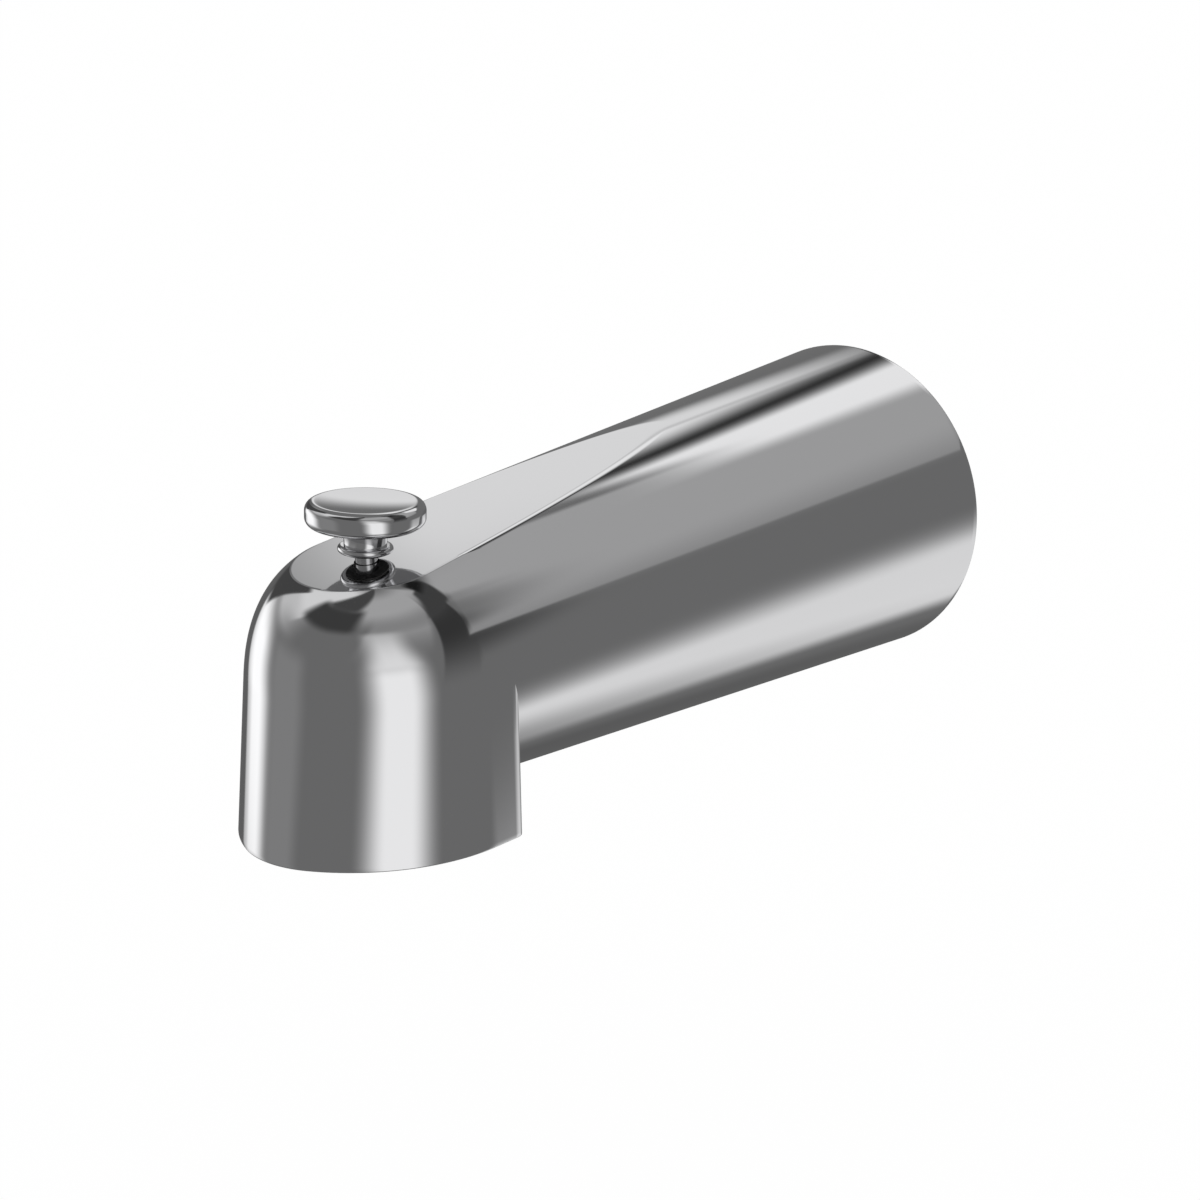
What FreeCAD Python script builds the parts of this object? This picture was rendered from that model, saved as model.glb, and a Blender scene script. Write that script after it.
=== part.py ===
"""Bath spout with a pull-up diverter, for a slip-fit 15.9 mm copper stub.

Millimetres, +Z up. The origin is the centre of the wall end, in the plane of the
finished wall. The spout reaches out along -Y, so "reach" below is the distance
from the wall, and +X is to the right of someone who faces the wall.
"""
import FreeCAD, Part
import math
import os
from FreeCAD import Vector

# Barrel: a level cone from the wall to the back of the nose.
WALL_RADIUS = 30.0
NOSE_RADIUS = 23.2
NOSE_BACK = 123.8
SHELL_WALL = 3.0

# Nose: a drafted block with a round front, open at the bottom.
NOSE_DEPTH = 26.92
NOSE_LENGTH = 36.45
NOSE_FOOT = 23.65
FRONT_DRAFT = 6.05
SIDE_LENGTH = 10.2
ROUND_LOW = 1.216
ROUND_AXIS = 1.15
ROUND_HIGH = 1.02
ROUND_POWER = 2.17
DOME_LENGTH = 23.25
DOME_RISE = 0.79
DOME_POWER = 2.37
DOME_SECTIONS = 9
CORNER_RADIUS = 2.0
NOSE_PROUD = 0.05

# Facet: the flat ground across the top of barrel and nose.
FACET_START = 61.2
FACET_DEPTH = 3.23

# Diverter stem: leaning line of the knob, the rod and the gate.
STEM_AHEAD = 9.23
STEM_LEAN = 4.4
ROD_RADIUS = 1.85
ROD_CLEARANCE = 0.06
LIFT = 11.0

# Knob.
KNOB_RADIUS = 9.9
KNOB_UNDERSIDE = 6.45
KNOB_EDGE = 3.55
KNOB_CROWN = 0.45
KNOB_TOP_ROUND = 1.75
KNOB_LOW_ROUND = 1.35
NECK_TOP_RADIUS = 4.3
NECK_RADIUS = 3.55
NECK_WAIST = 0.22
BEAD_RADIUS = 4.6
BEAD_THICKNESS = 1.3
BEAD_LOW = 1.95

# Rod gland under the facet.
GLAND_THREAD_RADIUS = 5.0
GLAND_BOSS_WALL = 3.2
GLAND_BOSS_DEPTH = 8.0
GLAND_SHELF = 2.4
GLAND_HEX = 12.0
GLAND_HEX_HEIGHT = 3.6
GLAND_CORD = 1.4
GLAND_GAP = 0.52

# Waterway along the barrel.
PIPE_BORE_RADIUS = 8.0
PIPE_STOP = 40.0
ADAPTER_RADIUS = 12.0
ADAPTER_END = 52.0
ADAPTER_BORE = 6.0
SPIGOT_RADIUS = 9.5
SHOULDER_RADIUS = 14.5
SHOULDER_LENGTH = 3.0
COLLET_RADIUS = 10.0
COLLET_LENGTH = 11.5
COLLET_SLOT = 1.2
PIPE_CORD = 1.6
PIPE_RING_FIRST = 24.0
PIPE_RING_SECOND = 34.0
SPIGOT_CORD = 1.3
SPIGOT_RING = 47.5
TUBE_WALL = 1.4
TUBE_CORD = 1.5
TUBE_SOCKET = 9.5
TUBE_RING_BACK = 4.5
TUBE_BOSS_WALL = 2.5
GROOVE_WIDTH = 1.3
SLIP = 0.08

# Wall insert that carries the adapter, and its two screws.
INSERT_BACK = 14.0
INSERT_PLATE = 4.0
HUB_WALL = 3.0
HUB_END = 30.0
INSERT_GAP = 0.3
INSERT_SCREW_EDGE = 3.71
INSERT_BOSS_RADIUS = 4.2
INSERT_BOSS_LENGTH = 18.0
SCREW_RADIUS = 1.5
SCREW_LENGTH = 12.0
SCREW_END_SPACE = 1.0
SCREW_HEAD_RADIUS = 2.9
SCREW_HEAD_HEIGHT = 2.0
CLIP_WIRE = 1.2

# Clamp on the collet, tightened from below.
CLAMP_WIDTH = 8.0
CLAMP_WALL = 4.0
CLAMP_BACK = 2.5
CLAMP_LUG = 9.0
CLAMP_GAP = 1.6
SET_SCREW_RADIUS = 2.5
SET_SCREW_KEY = 2.5
KEY_HOLE_RADIUS = 3.2

# Gasket in the wall rim.
GASKET_DEPTH = 1.2
RIM_LIP = 1.4
GASKET_WIDTH = 3.6

# Gate, its guide and the port.
PORT_RADIUS = 4.5
GATE_WIDTH = 16.0
GATE_DEPTH = 6.4
GATE_HEIGHT = 13.0
SEAL_RADIUS = 6.0
SEAL_THICKNESS = 1.5
SEAL_EDGE = 0.5
GATE_CORNER = 0.8
GATE_GAP = 0.3
GUIDE_WALL = 2.5
GUIDE_LIP = 1.5
GUIDE_HEAD = 1.2
GUIDE_EAR = 6.0
GUIDE_EAR_THICKNESS = 3.0
GUIDE_EAR_HEIGHT = 7.0
GUIDE_EAR_Z = -10.0
GUIDE_BOSS_LENGTH = 7.0
GUIDE_MOUTH = 0.34
GASKET_RING = 2.0
GASKET_THICKNESS = 1.0
ROD_HEAD_RADIUS = 2.6
ROD_HEAD_HEIGHT = 1.5
CLIP_ROOT = 0.75
CLIP_HEIGHT = 0.8
CLIP_MOUTH = 0.85

# Fixed working values.
BARREL_TAPER = (WALL_RADIUS - NOSE_RADIUS) / NOSE_BACK
WEB_FRONT = NOSE_BACK + SHELL_WALL
NOSE_TIP = NOSE_BACK + NOSE_LENGTH
SIDE_END = NOSE_BACK + SIDE_LENGTH
DOME_REACH = NOSE_TIP - DOME_LENGTH
FACET_LOW = NOSE_RADIUS - FACET_DEPTH
DOME_HEIGHT = FACET_LOW + DOME_RISE
STEM_REACH = WEB_FRONT + STEM_AHEAD
TUBE_INNER = SPIGOT_RADIUS + SLIP
TUBE_RADIUS = TUBE_INNER + TUBE_WALL
OVERRUN = 2.0

OUT = Vector(0, -1, 0)
UP = Vector(0, 0, 1)


def at(x, reach, z):
    """Point at a distance from the wall."""
    return Vector(x, -reach, z)


def barrel_radius(reach):
    return WALL_RADIUS - BARREL_TAPER * reach


def facet_height(reach):
    """Height of the facet plane above the barrel's axis."""
    return barrel_radius(FACET_START) - facet_slope() * (reach - FACET_START)


def facet_slope():
    """Fall of the facet over its run, from the barrel's top to its height at the nose."""
    return (barrel_radius(FACET_START) - FACET_LOW) / (NOSE_BACK - FACET_START)


STEM_FOOT = at(0, STEM_REACH, facet_height(STEM_REACH))
STEM = FreeCAD.Placement(STEM_FOOT, FreeCAD.Rotation(Vector(1, 0, 0), STEM_LEAN))


def on_stem(shape):
    """Move a shape from the stem's own axes, foot at the facet, to its place."""
    placed = shape.copy()
    placed.transformShape(STEM.toMatrix())
    return placed


def stem_height(reach, z):
    """Distance along the stem of a point on the centre plane."""
    return STEM.inverse().multVec(at(0, reach, z)).z


def rod_along(radius, start, end, x=0.0, z=0.0):
    """Cylinder level with the barrel, between two reaches."""
    return Part.makeCylinder(radius, end - start, at(x, start, z), OUT)


def ring_along(outer, inner, start, end, x=0.0, z=0.0):
    bore = rod_along(inner, start - OVERRUN, end + OVERRUN, x, z)
    return rod_along(outer, start, end, x, z).cut(bore)


def cone_along(start, end, inset):
    """Barrel cone between two reaches, smaller by an inset."""
    near = barrel_radius(start) - inset
    far = barrel_radius(end) - inset
    return Part.makeCone(near, far, end - start, at(0, start, 0), OUT)


def o_ring_along(inner, cord, centre):
    """Rubber ring round the barrel's axis, by its inner radius and cord."""
    return Part.makeTorus(inner + cord / 2, cord / 2, at(0, centre, 0), OUT)


# Nose surface

def nose_half_width(reach, z, inset):
    """The sides are the barrel's own round above the axis and flat down to the foot below it."""
    radius = barrel_radius(reach) + NOSE_PROUD - inset
    if z > 0:
        return math.sqrt(radius ** 2 - z ** 2)
    return radius + (NOSE_FOOT - inset - radius) * -z / NOSE_DEPTH


def nose_front(z, inset):
    """Reach of the centre line of the front: drafted wall, then the dome."""
    slope = math.tan(math.radians(FRONT_DRAFT))
    front = NOSE_TIP - inset - (z + NOSE_DEPTH) * slope
    if z <= 0:
        return front
    share = (z / (DOME_HEIGHT - inset)) ** DOME_POWER
    return DOME_REACH + (front - DOME_REACH) * (1 - share) ** (1 / DOME_POWER)


def round_length(z):
    """Length of the round front over its half width: long at the foot, nearly one at the facet."""
    if z > 0:
        return ROUND_AXIS + (ROUND_HIGH - ROUND_AXIS) * (z / FACET_LOW) ** 2
    return ROUND_AXIS + (ROUND_LOW - ROUND_AXIS) * -z / NOSE_DEPTH


def flank_and_tip(width, start, front, lean):
    """Three tangent arcs close the front: a flank from each side, and a tip between them.

    Gives two points of the right half: the middle of the flank, and its joint with the tip.
    """
    circle = width / math.cos(lean)
    tip = circle * (circle / (front - start + width * math.tan(lean))) ** ROUND_POWER
    tip_y = front - tip
    over = tip_y - start
    spare = width * math.cos(lean) - over * math.sin(lean) - tip
    flank = (width ** 2 + over ** 2 - tip ** 2) / (2 * spare)
    flank_x = width - flank * math.cos(lean)
    flank_y = start - flank * math.sin(lean)
    turn = math.atan2(tip_y - flank_y, -flank_x)
    half = (lean + turn) / 2
    middle = (flank_x + flank * math.cos(half), flank_y + flank * math.sin(half))
    joint = (tip * math.cos(turn), tip_y + tip * math.sin(turn))
    return middle, joint


def nose_section(z, inset):
    """Closed level outline: flat back, rounded corners, sides and round front."""
    back = NOSE_BACK + inset
    corner = max(CORNER_RADIUS - inset, 0.4)
    front = nose_front(z, inset)
    behind = nose_half_width(SIDE_END - 1, z, inset)
    ahead = nose_half_width(SIDE_END + 1, z, inset)
    slope = (behind - ahead) / 2
    start = front - (behind + ahead) / 2 * (round_length(z) - slope)
    width = nose_half_width(start, z, inset)
    shoulder = nose_half_width(back + corner, z, inset)
    middle, joint = flank_and_tip(width, start, front, math.atan(slope))
    near = corner * (1 - math.cos(math.pi / 4))
    right = [
        at(shoulder - corner, back, z),
        at(shoulder - near, back + near, z),
        at(shoulder, back + corner, z),
        at(width, start, z),
        at(middle[0], middle[1], z),
        at(joint[0], joint[1], z),
    ]
    left = [Vector(-p.x, p.y, p.z) for p in right]
    edges = [
        Part.Arc(right[0], right[1], right[2]).toShape(),
        Part.makeLine(right[2], right[3]),
        Part.Arc(right[3], right[4], right[5]).toShape(),
        Part.Arc(right[5], at(0, front, z), left[5]).toShape(),
        Part.Arc(left[5], left[4], left[3]).toShape(),
        Part.makeLine(left[3], left[2]),
        Part.Arc(left[2], left[1], left[0]).toShape(),
        Part.makeLine(left[0], right[0]),
    ]
    return Part.Wire(edges)


def nose_block(inset, low, top):
    """Straight drafted walls below the axis, and a smooth dome of level sections above it."""
    walls = Part.makeLoft([nose_section(low, inset), nose_section(0, inset)], True, True)
    quarter = math.pi / 2
    heights = [top * math.sin(quarter * i / DOME_SECTIONS) for i in range(DOME_SECTIONS + 1)]
    dome = Part.makeLoft([nose_section(z, inset) for z in heights], True, False)
    return walls.fuse(dome)


def above_facet(drop):
    """Everything above the facet plane, or above a plane parallel to it."""
    start = FACET_START / 2
    end = NOSE_TIP + 20
    drop = drop / math.cos(math.atan(facet_slope()))
    high = WALL_RADIUS * 2
    side = WALL_RADIUS * 1.2
    outline = Part.makePolygon([
        at(-side, start, facet_height(start) - drop),
        at(-side, end, facet_height(end) - drop),
        at(-side, end, high),
        at(-side, start, high),
        at(-side, start, facet_height(start) - drop),
    ])
    return Part.Face(outline).extrude(Vector(2 * side, 0, 0))


# Spout body

def body_outside():
    barrel = cone_along(0, NOSE_BACK + CORNER_RADIUS + OVERRUN, 0)
    nose = nose_block(0, -NOSE_DEPTH, facet_height(NOSE_BACK) + 0.15)
    return barrel.fuse(nose).cut(above_facet(0)).removeSplitter()


def body_hollows():
    """Dry hollow behind the web, and the wet chamber of the nose."""
    barrel = cone_along(-OVERRUN, NOSE_BACK, SHELL_WALL)
    roof = facet_height(WEB_FRONT) - SHELL_WALL + 0.15
    chamber = nose_block(SHELL_WALL, -NOSE_DEPTH - OVERRUN, roof)
    lid = above_facet(SHELL_WALL)
    return barrel.cut(lid), chamber.cut(lid)


def spout_body():
    outside = body_outside()
    barrel_hollow, chamber = body_hollows()
    body = outside.cut(barrel_hollow).cut(chamber)
    bosses = [tube_boss(), gland_boss()]
    bosses += [insert_boss(side) for side in (-1, 1)]
    bosses += [guide_boss(side) for side in (-1, 1)]
    for boss in bosses:
        body = body.fuse(boss.common(outside))
    cuts = [
        rod_along(WALL_RADIUS - RIM_LIP, -OVERRUN, GASKET_DEPTH),
        port_along(PORT_RADIUS + SHELL_WALL / 2, NOSE_BACK - OVERRUN, WEB_FRONT + OVERRUN),
        tube_socket(),
        gland_hole(),
        key_hole(),
    ]
    for side in (-1, 1):
        x = side * insert_screw_x()
        cuts.append(rod_along(SCREW_RADIUS, INSERT_BACK, insert_screw_end(), x))
        cuts.append(guide_screw_hole(side))
    for cut in cuts:
        body = body.cut(cut)
    return body.removeSplitter()


def tube_boss():
    """Socket on the back of the web for the waterway tube."""
    outer = TUBE_RADIUS + TUBE_CORD + TUBE_BOSS_WALL
    return rod_along(outer, NOSE_BACK - TUBE_SOCKET, NOSE_BACK + SHELL_WALL / 2)


def tube_socket():
    seat = rod_along(TUBE_RADIUS + SLIP, NOSE_BACK - TUBE_SOCKET - OVERRUN, NOSE_BACK)
    half = TUBE_CORD * GROOVE_WIDTH / 2
    centre = tube_ring_centre()
    return seat.fuse(rod_along(TUBE_RADIUS + TUBE_CORD + SLIP, centre - half, centre + half))


def tube_ring_centre():
    return NOSE_BACK - TUBE_RING_BACK


def gland_boss():
    """Boss under the facet, square to the stem."""
    return on_stem(Part.makeCylinder(
        GLAND_THREAD_RADIUS + GLAND_BOSS_WALL, GLAND_BOSS_DEPTH, Vector(0, 0, -GLAND_BOSS_DEPTH)))


def gland_hole():
    foot = Vector(0, 0, -2 * SHELL_WALL)
    rod = Part.makeCylinder(ROD_RADIUS + 4 * ROD_CLEARANCE, 4 * SHELL_WALL, foot)
    deep = GLAND_BOSS_DEPTH - GLAND_SHELF + OVERRUN
    mouth = Vector(0, 0, -GLAND_BOSS_DEPTH - OVERRUN)
    thread = Part.makeCylinder(GLAND_THREAD_RADIUS, deep, mouth)
    return on_stem(rod.fuse(thread))


def insert_boss(side):
    start = INSERT_BACK + INSERT_PLATE
    x = side * insert_screw_x()
    return rod_along(INSERT_BOSS_RADIUS, start, start + INSERT_BOSS_LENGTH, x)


def insert_screw_x():
    """The screws stand a set distance in from the barrel's inner wall."""
    wall = barrel_radius(INSERT_BACK + INSERT_PLATE) - SHELL_WALL
    return wall - INSERT_SCREW_EDGE


def insert_screw_end():
    return INSERT_BACK + SCREW_LENGTH + SCREW_END_SPACE


def key_hole():
    """Hole in the underside for the hex key of the set screw."""
    below = at(0, CLAMP_BACK + CLAMP_WIDTH / 2, -1.5 * WALL_RADIUS)
    return Part.makeCylinder(KEY_HOLE_RADIUS, WALL_RADIUS, below)


def guide_ear_x():
    return GATE_WIDTH / 2 + GATE_GAP + GUIDE_WALL + GUIDE_EAR / 2


def guide_boss(side):
    start = NOSE_BACK - GUIDE_BOSS_LENGTH
    end = NOSE_BACK + SHELL_WALL / 2
    return rod_along(SCREW_RADIUS + GUIDE_WALL, start, end, side * guide_ear_x(), GUIDE_EAR_Z)


def guide_screw_hole(side):
    start = WEB_FRONT + GUIDE_EAR_THICKNESS - SCREW_LENGTH - SCREW_END_SPACE
    return rod_along(SCREW_RADIUS, start, WEB_FRONT + OVERRUN, side * guide_ear_x(), GUIDE_EAR_Z)


# Wall end

def wall_gasket():
    outer = WALL_RADIUS - RIM_LIP
    return ring_along(outer, outer - GASKET_WIDTH, 0, GASKET_DEPTH)


def wall_insert():
    """Spider with a hub for the adapter and two windows to save material."""
    end = INSERT_BACK + INSERT_PLATE
    plate = rod_along(barrel_radius(end) - SHELL_WALL - INSERT_GAP, INSERT_BACK, end)
    hub_radius = ADAPTER_RADIUS + SLIP + HUB_WALL
    hub = rod_along(hub_radius, INSERT_BACK, HUB_END)
    insert = plate.fuse(hub).cut(rod_along(ADAPTER_RADIUS + SLIP, 0, HUB_END + OVERRUN))
    rim = barrel_radius(end) - SHELL_WALL - INSERT_GAP - HUB_WALL
    window = ring_along(rim, hub_radius + HUB_WALL / 2, INSERT_BACK - OVERRUN, end + OVERRUN)
    spoke = 2 * INSERT_BOSS_RADIUS
    wide = 4 * WALL_RADIUS
    bar = Part.makeBox(wide, 2 * WALL_RADIUS, spoke, at(-wide / 2, WALL_RADIUS, -spoke / 2))
    insert = insert.cut(window.cut(bar))
    for side in (-1, 1):
        insert = insert.cut(rod_along(SCREW_RADIUS + SLIP, 0, HUB_END, side * insert_screw_x()))
    return insert


def screw(x, z, seat, direction):
    """Pan head screw with a cross recess.

    The seat is the reach under the head. Direction 1 points away from the wall.
    """
    axis = OUT * direction
    shank = Part.makeCylinder(SCREW_RADIUS - SLIP / 2, SCREW_LENGTH, at(x, seat, z), axis)
    head = Part.makeCylinder(SCREW_HEAD_RADIUS, SCREW_HEAD_HEIGHT, at(x, seat, z), axis * -1)
    outer_edge = max(head.Edges, key=lambda e: abs(e.CenterOfMass.y + seat))
    head = head.makeFillet(SCREW_HEAD_HEIGHT * 0.4, [outer_edge])
    depth = SCREW_HEAD_HEIGHT / 2
    top = seat - direction * SCREW_HEAD_HEIGHT
    low = min(top, top + direction * depth)
    arm = SCREW_HEAD_RADIUS
    thin = SCREW_HEAD_RADIUS / 4
    for long, wide in ((arm, thin), (thin, arm)):
        corner = at(x - long / 2, low + depth, z - wide / 2)
        head = head.cut(Part.makeBox(long, depth, wide, corner))
    return shank.fuse(head)


def inlet_adapter():
    """Turned brass sleeve that slips over the pipe, with a slotted collet at the wall."""
    body = rod_along(COLLET_RADIUS, 0, COLLET_LENGTH)
    body = body.fuse(rod_along(ADAPTER_RADIUS, COLLET_LENGTH, PIPE_STOP + 2))
    body = body.fuse(rod_along(SHOULDER_RADIUS, HUB_END, HUB_END + SHOULDER_LENGTH))
    body = body.fuse(rod_along(SPIGOT_RADIUS, PIPE_STOP, ADAPTER_END))
    body = body.cut(rod_along(PIPE_BORE_RADIUS, -OVERRUN, PIPE_STOP))
    body = body.cut(rod_along(ADAPTER_BORE, 0, ADAPTER_END + OVERRUN))
    half = PIPE_CORD * GROOVE_WIDTH / 2
    for centre in (PIPE_RING_FIRST, PIPE_RING_SECOND):
        groove = rod_along(PIPE_BORE_RADIUS + PIPE_CORD + SLIP, centre - half, centre + half)
        body = body.cut(groove)
    half = SPIGOT_CORD * GROOVE_WIDTH / 2
    root = TUBE_INNER - SPIGOT_CORD - SLIP
    groove = ring_along(SPIGOT_RADIUS + OVERRUN, root, SPIGOT_RING - half, SPIGOT_RING + half)
    body = body.cut(groove)
    start, end = clip_span()
    body = body.cut(ring_along(ADAPTER_RADIUS + OVERRUN, ADAPTER_RADIUS - CLIP_WIRE, start, end))
    long = 2 * COLLET_RADIUS + OVERRUN
    for turn in (45, 135):
        slot = Part.makeBox(long, COLLET_LENGTH - OVERRUN, COLLET_SLOT)
        slot.translate(at(-long / 2, COLLET_LENGTH - OVERRUN, -COLLET_SLOT / 2))
        slot.rotate(Vector(0, 0, 0), OUT, turn)
        body = body.cut(slot)
    return body.removeSplitter()


def clip_span():
    """Start and end of the circlip, hard against the back of the insert."""
    return INSERT_BACK - CLIP_WIRE, INSERT_BACK


def adapter_circlip():
    start, end = clip_span()
    ring = ring_along(ADAPTER_RADIUS + CLIP_WIRE, ADAPTER_RADIUS - CLIP_WIRE + SLIP, start, end)
    opening = 2 * CLIP_WIRE
    corner = at(-opening / 2, INSERT_BACK + CLIP_WIRE, 0)
    return ring.cut(Part.makeBox(opening, 4 * CLIP_WIRE, 2 * ADAPTER_RADIUS, corner))


def clamp_ring():
    """Split collar round the collet, with a lug below for the set screw."""
    end = CLAMP_BACK + CLAMP_WIDTH
    outer = COLLET_RADIUS + SLIP + CLAMP_WALL
    ring = rod_along(outer, CLAMP_BACK, end)
    width = 2 * SET_SCREW_RADIUS + CLAMP_WALL
    low = -COLLET_RADIUS - CLAMP_LUG
    lug = Part.makeBox(width, CLAMP_WIDTH, CLAMP_LUG, at(-width / 2, end, low))
    ring = ring.fuse(lug).cut(rod_along(COLLET_RADIUS + SLIP, 0, end + OVERRUN))
    corner = at(-CLAMP_GAP / 2, end + OVERRUN, 0)
    split = Part.makeBox(CLAMP_GAP, CLAMP_WIDTH + 2 * OVERRUN, 2 * outer, corner)
    below = at(0, CLAMP_BACK + CLAMP_WIDTH / 2, low - OVERRUN)
    hole = Part.makeCylinder(SET_SCREW_RADIUS, CLAMP_LUG + 2 * OVERRUN, below)
    return ring.cut(split).cut(hole)


def set_screw():
    """Headless screw with a hex socket, its tip on the collet."""
    length = CLAMP_LUG - 1.0
    low = -COLLET_RADIUS - SLIP - length
    place = at(0, CLAMP_BACK + CLAMP_WIDTH / 2, low)
    body = Part.makeCylinder(SET_SCREW_RADIUS - SLIP / 2, length, place)
    hexagon = hex_prism(SET_SCREW_KEY, length / 2)
    hexagon.translate(place)
    return body.cut(hexagon)


def hex_prism(across_flats, height):
    radius = across_flats / math.sqrt(3)
    turns = [math.radians(60 * i) for i in range(7)]
    corners = [Vector(radius * math.cos(turn), radius * math.sin(turn), 0) for turn in turns]
    return Part.Face(Part.makePolygon(corners)).extrude(Vector(0, 0, height))


def waterway_tube():
    return ring_along(TUBE_RADIUS, TUBE_INNER, PIPE_STOP + 2, NOSE_BACK)


# Stem, knob and gland, in the stem's own axes

def knob_profile():
    """Mushroom head with a rounded rim, waisted neck and bead."""
    edge = KNOB_UNDERSIDE + KNOB_EDGE
    arc = 1 - math.sqrt(0.5)
    top_r = KNOB_TOP_ROUND
    low_r = KNOB_LOW_ROUND
    flat = KNOB_RADIUS - top_r
    bead_mid = BEAD_LOW + BEAD_THICKNESS / 2
    bead_half = BEAD_THICKNESS / 2
    inner = BEAD_RADIUS - bead_half
    low = BEAD_LOW
    bead_top = low + BEAD_THICKNESS
    socket = KNOB_UNDERSIDE
    p = [
        Vector(0, 0, edge + KNOB_CROWN),
        Vector(flat, 0, edge),
        Vector(KNOB_RADIUS, 0, edge - top_r),
        Vector(KNOB_RADIUS, 0, KNOB_UNDERSIDE + low_r),
        Vector(KNOB_RADIUS - low_r, 0, KNOB_UNDERSIDE),
        Vector(NECK_TOP_RADIUS, 0, KNOB_UNDERSIDE),
        Vector(NECK_RADIUS, 0, bead_top),
        Vector(inner, 0, bead_top),
        Vector(inner, 0, low),
        Vector(ROD_RADIUS, 0, low),
        Vector(ROD_RADIUS, 0, socket),
        Vector(0, 0, socket),
    ]
    crown = Vector(flat / 2, 0, edge + KNOB_CROWN * 0.75)
    shoulder = Vector(KNOB_RADIUS - top_r * arc, 0, edge - top_r * arc)
    belly = Vector(KNOB_RADIUS - low_r * arc, 0, KNOB_UNDERSIDE + low_r * arc)
    neck_mean = (NECK_TOP_RADIUS + NECK_RADIUS) / 2
    waist = Vector(neck_mean - NECK_WAIST, 0, (KNOB_UNDERSIDE + bead_top) / 2)
    bead = Vector(BEAD_RADIUS, 0, bead_mid)
    edges = [
        Part.Arc(p[0], crown, p[1]).toShape(),
        Part.Arc(p[1], shoulder, p[2]).toShape(),
        Part.makeLine(p[2], p[3]),
        Part.Arc(p[3], belly, p[4]).toShape(),
        Part.makeLine(p[4], p[5]),
        Part.Arc(p[5], waist, p[6]).toShape(),
        Part.makeLine(p[6], p[7]),
        Part.Arc(p[7], bead, p[8]).toShape(),
        Part.makeLine(p[8], p[9]),
        Part.makeLine(p[9], p[10]),
        Part.makeLine(p[10], p[11]),
        Part.makeLine(p[11], p[0]),
    ]
    return Part.Wire(edges)


def diverter_knob():
    knob = Part.Face(knob_profile()).revolve(Vector(0, 0, 0), UP, 360)
    return on_stem(knob)


def port_height():
    """Height along the stem of the port's centre, where the guide's top clears the gland."""
    return -(GLAND_BOSS_DEPTH + GLAND_HEX_HEIGHT + GLAND_GAP + GUIDE_HEAD + SEAL_RADIUS)


def port_z():
    """Height of the port's centre above the barrel's axis."""
    return (port_height() - stem_height(WEB_FRONT, 0)) / math.cos(math.radians(STEM_LEAN))


def port_along(radius, start, end):
    return rod_along(radius, start, end, 0, port_z())


def port_ring(outer, inner, start, end):
    return ring_along(outer, inner, start, end, 0, port_z())


def gate_middle():
    """Middle of the gate at rest, one lift below the port."""
    return port_height() - LIFT


def lift_rod():
    """Rod with a head under the gate, a groove for the clip and a stub in the knob."""
    low = gate_middle() - GATE_HEIGHT / 4
    rod = Part.makeCylinder(ROD_RADIUS, BEAD_LOW - low, Vector(0, 0, low))
    stub = Part.makeCylinder(ROD_RADIUS - SLIP / 2, KNOB_UNDERSIDE - low, Vector(0, 0, low))
    foot = Vector(0, 0, low - ROD_HEAD_HEIGHT)
    head = Part.makeCylinder(ROD_HEAD_RADIUS, ROD_HEAD_HEIGHT, foot)
    groove_low = Vector(0, 0, gate_middle() + GATE_HEIGHT / 2)
    groove = Part.makeCylinder(2 * ROD_RADIUS, CLIP_HEIGHT, groove_low)
    groove = groove.cut(Part.makeCylinder(ROD_RADIUS * CLIP_ROOT, CLIP_HEIGHT, groove_low))
    return on_stem(rod.fuse(stub).fuse(head).cut(groove).removeSplitter())


def rod_clip():
    """Clip in the rod's groove that holds the gate up against the rod's head."""
    low = gate_middle() + GATE_HEIGHT / 2
    below = low - CLIP_HEIGHT
    inner = ROD_RADIUS * CLIP_ROOT + SLIP / 2
    clip = Part.makeCylinder(ROD_RADIUS * 2, CLIP_HEIGHT, Vector(0, 0, low))
    clip = clip.cut(Part.makeCylinder(inner, 3 * CLIP_HEIGHT, Vector(0, 0, below)))
    half = inner * CLIP_MOUTH
    mouth = box_on_stem(half, 0, -4 * ROD_RADIUS, below, below + 3 * CLIP_HEIGHT)
    return on_stem(clip.cut(mouth))


def rod_gland():
    """Hex gland screwed up into the boss, with a groove for the rod's ring."""
    mouth = Vector(0, 0, -GLAND_BOSS_DEPTH)
    thread = GLAND_THREAD_RADIUS - SLIP / 2
    shank = Part.makeCylinder(thread, GLAND_BOSS_DEPTH - GLAND_SHELF, mouth)
    bottom = -GLAND_BOSS_DEPTH - GLAND_HEX_HEIGHT
    head = hex_prism(GLAND_HEX, GLAND_HEX_HEIGHT)
    head.translate(Vector(0, 0, bottom))
    below = Vector(0, 0, bottom - OVERRUN)
    bore = Part.makeCylinder(ROD_RADIUS + ROD_CLEARANCE, OVERRUN - bottom, below)
    width = GLAND_CORD * GROOVE_WIDTH
    groove_low = Vector(0, 0, gland_ring_centre() - width / 2)
    groove = Part.makeCylinder(ROD_RADIUS + GLAND_CORD + 2 * SLIP, width, groove_low)
    return on_stem(shank.fuse(head).cut(bore).cut(groove))


def gland_ring_centre():
    return -(GLAND_SHELF + GLAND_BOSS_DEPTH) / 2


def rod_o_ring():
    middle = Vector(0, 0, gland_ring_centre())
    ring = Part.makeTorus(ROD_RADIUS + SLIP + GLAND_CORD / 2, GLAND_CORD / 2, middle, UP)
    return on_stem(ring)


def box_on_stem(half_width, back, front, low, high):
    """Box in the stem's axes: back and front are depths behind the stem."""
    corner = Vector(-half_width, front, low)
    return Part.makeBox(2 * half_width, back - front, high - low, corner)


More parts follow.
